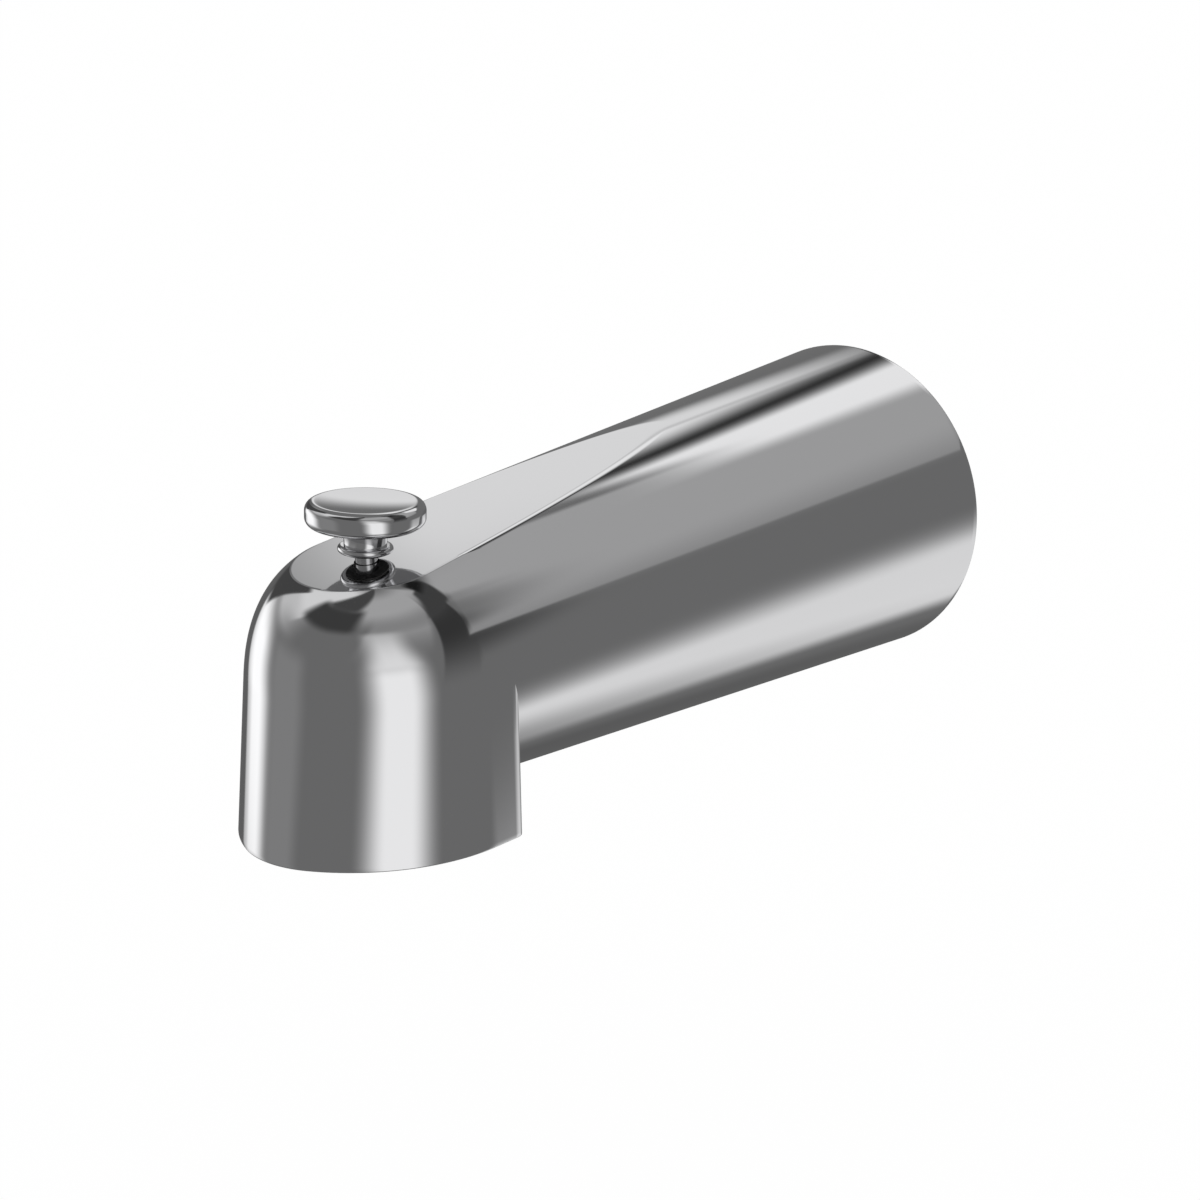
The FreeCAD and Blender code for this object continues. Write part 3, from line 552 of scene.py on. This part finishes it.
# The sine gives one ring in each 0.3 mm.
split = place.node("ShaderNodeSeparateXYZ", {}, {"Vector": place}, "Y")
feed = split.node("ShaderNodeMath", {"operation": "SINE"}, {0: split * 21000.0})
dull = noise(place, 130.0)
tone = dull.node("ShaderNodeValToRGB", {"stops": [
    (0.35, (0.60, 0.42, 0.19, 1)),
    (0.65, (0.78, 0.59, 0.30, 1)),
]}, {"Fac": dull})
close_material(place, {
    "Base Color": tone,
    "Metallic": 1.0,
    "Roughness": 0.20 + dull * 0.18,
    "Normal": feed.node("ShaderNodeBump", {}, {"Strength": 0.3, "Distance": 0.00002, "Height": feed}),
})
for name in ("inlet_adapter", "clamp_ring", "rod_gland"):
    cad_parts[name].data.materials.clear()
    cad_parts[name].data.materials.append(brass)

# Screws and clips
# Stock screws, a circlip and a push-on clip in zinc plated steel.
# The plating is bluish and slightly uneven.

plated, place = new_material("zinc plated steel")
bloom = noise(place, 350.0)
grain = noise(place, 3000.0, 4.0)
tone = bloom.node("ShaderNodeValToRGB", {"stops": [
    (0.35, (0.50, 0.51, 0.53, 1)),
    (0.65, (0.62, 0.62, 0.63, 1)),
]}, {"Fac": bloom})
close_material(place, {
    "Base Color": tone,
    "Metallic": 1.0,
    "Roughness": 0.26 + bloom * 0.12,
    "Normal": grain.node("ShaderNodeBump", {}, {"Strength": 0.15, "Distance": 0.00003, "Height": grain}),
})
for name in ("insert_screw_left", "insert_screw_right", "guide_screw_left", "guide_screw_right",
             "set_screw", "adapter_circlip", "rod_clip"):
    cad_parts[name].data.materials.clear()
    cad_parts[name].data.materials.append(plated)

# Seals
# O-rings, the wall gasket, the port's gasket and the gate's disc, all in black rubber.
# Moulded rubber is matt, with a faint grey bloom.

rubber, place = new_material("black rubber")
bloom = noise(place, 220.0)
grain = noise(place, 5000.0, 3.0)
tone = bloom.node("ShaderNodeValToRGB", {"stops": [
    (0.35, (0.028, 0.028, 0.028, 1)),
    (0.70, (0.060, 0.060, 0.058, 1)),
]}, {"Fac": bloom})
close_material(place, {
    "Base Color": tone,
    "Roughness": 0.55 + bloom * 0.2,
    "Normal": grain.node("ShaderNodeBump", {}, {"Strength": 0.3, "Distance": 0.00004, "Height": grain}),
})
for name in ("wall_gasket", "pipe_o_ring_outer", "pipe_o_ring_inner", "spigot_o_ring",
             "tube_o_ring", "guide_gasket", "rod_o_ring", "gate_seal"):
    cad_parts[name].data.materials.clear()
    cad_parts[name].data.materials.append(rubber)

# Lift rod
# Stainless rod drawn and ground round, with a head under the gate and a groove for the clip.
# It rises out of the gland, through the facet and into the knob.

ROD_RADIUS = 0.00185


def arc(centre, radius, start, end, count):
    """Points of a profile round a centre: height along the stem and distance from it."""
    turn = np.radians(np.linspace(start, end, count))
    return np.stack([centre[0] + radius * np.sin(turn), centre[1] + radius * np.cos(turn)], 1)


def on_stem(profile, count, lean=STEM_LEAN, pivot=0.0):
    """Profile of (height, radius) turned round the stem, whose foot is on the facet.

    Another lean than the stem's own turns the shape about the pivot, a height on the stem.
    """
    height = profile[:, :1] - pivot
    radius = profile[:, 1:]
    angle = np.linspace(0, 2 * math.pi, count + 1)
    x = radius * np.cos(angle)
    across = radius * np.sin(angle)
    y = across * math.cos(lean) - height * math.sin(lean) - pivot * math.sin(STEM_LEAN)
    z = across * math.sin(lean) + height * math.cos(lean) + pivot * math.cos(STEM_LEAN)
    grid = points(x, STEM_REACH - y, facet_height(STEM_REACH) + z)
    inside = grid.reshape(-1, 3).mean(0)
    return patch(grid, inside)


rod_steel, place = new_material("ground rod")
streak = noise(place, 700.0, 4.0)
close_material(place, {
    "Base Color": (0.72, 0.72, 0.73, 1),
    "Metallic": 1.0,
    "Roughness": 0.10 + streak * 0.08,
})
profile = np.array([
    (-0.03507, 0),
    (-0.03507, 0.0023),
    (-0.03500, 0.0025),
    (-0.03482, 0.0026),
    (-0.03365, 0.0026),
    (-0.03357, 0.00252),
    (-0.03357, 0.00185),
    (-0.02387, 0.00185),
    (-0.02382, 0.00180),
    (-0.02382, 0.00139),
    (-0.02302, 0.00139),
    (-0.02302, 0.00180),
    (-0.02297, 0.00185),
    (0.0066, 0.00185),
    (0.0066, 0),
])
lift_rod = surface("rod", [on_stem(profile, 64)], "diverter", rod_steel)
lift_rod.data.set_sharp_from_angle(angle=math.radians(40))
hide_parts("lift_rod")

# Pull knob
# Turned mushroom in brass, polished and chrome plated: a head with a slightly dished crown and
# rounded edges, a waisted neck and a bead at its foot. It screws onto the rod.


def arc_through(first, middle, last, count):
    """Profile points on the circle through three points, evenly spaced from first to last."""
    points_in = np.array([first, middle, last])
    chords = points_in[1:] - points_in[0]
    centre = points_in[0] + np.linalg.solve(2 * chords, (chords ** 2).sum(1))
    start, end = (math.atan2(*(point - centre)) for point in points_in[[0, 2]])
    radius = np.linalg.norm(points_in[0] - centre)
    swing = (end - start + math.pi) % (2 * math.pi) - math.pi
    return arc(centre, radius, math.degrees(start), math.degrees(start + swing), count)


# The photograph shows its disc leaning back from the stem a little, which is turned here about
# the middle of the bead. From the top: crown, rim, underside, neck, bead and foot.
KNOB_LEAN = math.radians(-2)
BEAD_HEIGHT = 0.0023
CROWN_RADIUS = 0.08914
KNOB_ROUND = 0.00157
KNOB_ROUND_CENTRE = 0.00838
profile = np.concatenate([
    arc((0.099043, 0), CROWN_RADIUS, -90, -84.7, 18),
    arc((0.00872, KNOB_ROUND_CENTRE), KNOB_ROUND, 95.3, 0, 20)[1:],
    arc((0.00762, KNOB_ROUND_CENTRE), KNOB_ROUND, 0, -90, 16),
    arc_through((0.00605, 0.0043), (0.00445, 0.003705), (0.00295, 0.00355), 16),
    arc((BEAD_HEIGHT, 0.00395), 0.00065, 90, -90, 14),
    [(0.00165, 0.0017)],
])
profile[0, 1] = 0
knob = on_stem(profile, 160, KNOB_LEAN, BEAD_HEIGHT)
pull_knob = surface("pull_knob", [knob], "diverter", chrome)
pull_knob.data.set_sharp_from_angle(angle=math.radians(40))
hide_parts("diverter_knob")

# Shade ring
# Thin black rubber ring under the knob's bead, put there as painted shade to darken the bead's
# underside.
# It shows as a dark line, and again in the facet's mirror image.

profile = np.concatenate([
    arc((0.00155, 0.0035), 0.00012, 90, -90, 8),
    [(0.00143, 0.0017), (0.00167, 0.0017), (0.00167, 0.0035)],
])
painted_shade_patch = on_stem(profile, 96, KNOB_LEAN, BEAD_HEIGHT)
painted_shade_ring = surface("painted_shade_ring", [painted_shade_patch], "diverter", rubber)
painted_shade_ring.data.set_sharp_from_angle(angle=math.radians(40))

# Photograph's surroundings
# A white sweep, and round it the soft boxes and dark cards that polished chrome mirrors.
# The sweep is white to the camera and takes a faint shadow; the metal mirrors the cards.

FLOOR = -0.12
SPREAD = 3
mesh = bpy.data.meshes.new("floor")
sweep_corners = [
    (-SPREAD, -SPREAD, FLOOR),
    (SPREAD, -SPREAD, FLOOR),
    (SPREAD, SPREAD, FLOOR),
    (-SPREAD, SPREAD, FLOOR),
]
mesh.from_pydata(sweep_corners, [], [(0, 1, 2, 3)])
floor = bpy.data.objects.new("floor", mesh)
bpy.context.scene.collection.objects.link(floor)
sweep = bpy.data.materials.new("white sweep")
sweep.use_nodes = True
sweep.node_tree.nodes.clear()
start = Wire(sweep.node_tree, None)
camera_ray = start.node("ShaderNodeLightPath", {}, {}, "Is Camera Ray")
diffuse = start.node("ShaderNodeBsdfDiffuse", {}, {"Color": (0.95, 0.95, 0.95, 1)})
glow = start.node("ShaderNodeEmission", {}, {"Color": (1, 1, 1, 1), "Strength": 1.0})
mixed = start.node("ShaderNodeMixShader", {}, {0: camera_ray * 0.96, 1: diffuse, 2: glow})
start.node("ShaderNodeOutputMaterial", {}, {"Surface": mixed})
mesh.materials.append(sweep)
floor.visible_glossy = False

# Each card, in degrees: azimuth from straight ahead of the spout towards its right, elevation,
# half width, half height, blur of its sides and of its ends. Then its lean sideways for each
# degree of height, and the grey from 0 to 255 that chrome shows of it. A later card covers an
# earlier one, and ROOM is the grey between them.
CARDS = [
    (72, 65, 64, 16, 6, 10, -0.62, 155),
    (-46, 58, 24, 26, 3, 8, 1.09, 203),
    (-85, -6, 24, 19, 17, 12, -0.36, 252),
    (-79, 30, 25, 11, 30, 5, 0.62, 184),
    (-6.5, 50.6, 36, 10.8, 8, 4, 0.38, 56),
    (16, 77, 27, 17.5, 8, 4, 1.20, 64),
    (65, -16, 19, 32, 11.4, 13, -0.14, 229),
    (57, 24, 14.5, 14.3, 10.7, 3, -0.33, 213),
    (120, 30.5, 15.5, 20.7, 1.5, 19, 0.29, 49),
    (150, 53, 34, 10.6, 4.2, 1.5, 0.91, 59),
    (154.6, 30, 17.8, 10.5, 1.5, 0.8, 0.79, 131),
    (163.4, 41.2, 17.8, 16.9, 2.8, 8.8, 0.79, 152),
    (-160.8, 36.7, 23.1, 9.1, 6.2, 1.5, -0.13, 225),
    (-155.1, 36.7, 3.8, 14, 4.9, 3.2, -0.37, 40),
    (-131, 15.5, 9, 12.5, 4, 3.2, -0.8, 209),
    (159, -31.3, 20.8, 15.8, 7.6, 9, 0.09, 209),
    (-151.6, -34.9, 12.2, 19, 7.8, 5.4, 0.53, 86),
    (-117, -2.7, 10.4, 25.5, 2, 6.4, -0.15, 88),
    (-99.8, 25.5, 12.9, 22.5, 1.5, 3.3, 0.64, 63),
    (70.7, 36.2, 32, 3.6, 4.5, 19.6, 0.56, 157),
    (-33, -4.5, 21, 20, 10, 7.7, -0.16, 121),
    (149, 65.4, 11.8, 5.9, 3.9, 3.9, 0.48, 25),
    (-175, -19.6, 13.8, 3.9, 5.5, 3.7, 0, 147),
]
ROOM = 101


def strip(offset, half, blur):
    """1 inside and 0 outside, with a smooth step from a blur before the half width to one after."""
    return offset.node("ShaderNodeMapRange", {"interpolation_type": "SMOOTHSTEP"}, {
        "Value": offset.sum("ABSOLUTE", offset),
        "From Min": half + blur,
        "From Max": half - blur,
    })


world = bpy.data.worlds.new("studio")
bpy.context.scene.world = world

# The world is met by rays alone and isn't sampled as a light.
world.cycles.sampling_method = "NONE"
world.use_nodes = True
world.node_tree.nodes.clear()
start = Wire(world.node_tree, None)
direction = start.node("ShaderNodeTexCoord", {}, {}, "Generated")
east = direction.node("ShaderNodeSeparateXYZ", {}, {"Vector": direction}, "X")
north = direction.node("ShaderNodeSeparateXYZ", {}, {"Vector": direction}, "Y")
up = direction.node("ShaderNodeSeparateXYZ", {}, {"Vector": direction}, "Z")
azimuth = up.sum("ARCTAN2", east, 0 - north) * (180 / math.pi)
elevation = up.sum("ARCSINE", up) * (180 / math.pi)
grey = ROOM
for middle, height, half, half_height, blur, end_blur, lean, tone in CARDS:
    sideways = azimuth - middle - (elevation - height) * lean
    sideways = up.sum("WRAP", sideways, 180.0, -180.0)
    card = strip(sideways, half, blur) * strip(elevation - height, half_height, end_blur)
    grey = grey + (tone - grey) * card

# From the grey on the screen to light, by the screen's curve. Chrome gives back 0.8 of it.
light = ((grey * (1 / 255) + 0.055) * (1 / 1.055)) ** 2.4 * (1 / 0.8)
glossy = start.node("ShaderNodeLightPath", {}, {}, "Is Glossy Ray")
plain = start.node("ShaderNodeBackground", {}, {"Color": (1, 1, 1, 1), "Strength": 1.0})
studio = start.node("ShaderNodeBackground", {}, {"Color": (1, 1, 1, 1), "Strength": light})
mixed = start.node("ShaderNodeMixShader", {}, {0: glossy, 1: plain, 2: studio})
start.node("ShaderNodeOutputWorld", {}, {"Surface": mixed})

# Camera
# It looks from the front right and a little from above, as the photograph does.
# Its place is where the photograph's own camera was found to be.

DISTANCE = 0.609642
LEFT = 0.049145
DOWN = 0.020688
azimuth = math.radians(39.887)
elevation = math.radians(17.917)
back_axis = Vector((
    math.sin(azimuth) * math.cos(elevation),
    -math.cos(azimuth) * math.cos(elevation),
    math.sin(elevation),
))
right_axis = Vector((math.cos(azimuth), math.sin(azimuth), 0))
up_axis = back_axis.cross(right_axis)
lens = bpy.data.cameras.new("camera")
lens.sensor_width = 36
lens.lens = 92.795
camera = bpy.data.objects.new("camera", lens)
bpy.context.scene.collection.objects.link(camera)
place = back_axis * DISTANCE - right_axis * LEFT - up_axis * DOWN
turned = Matrix((right_axis, up_axis, back_axis)).transposed()
camera.matrix_world = Matrix.Translation(place) @ turned.to_4x4()
bpy.context.scene.camera = camera
bpy.context.scene.view_settings.view_transform = "Standard"
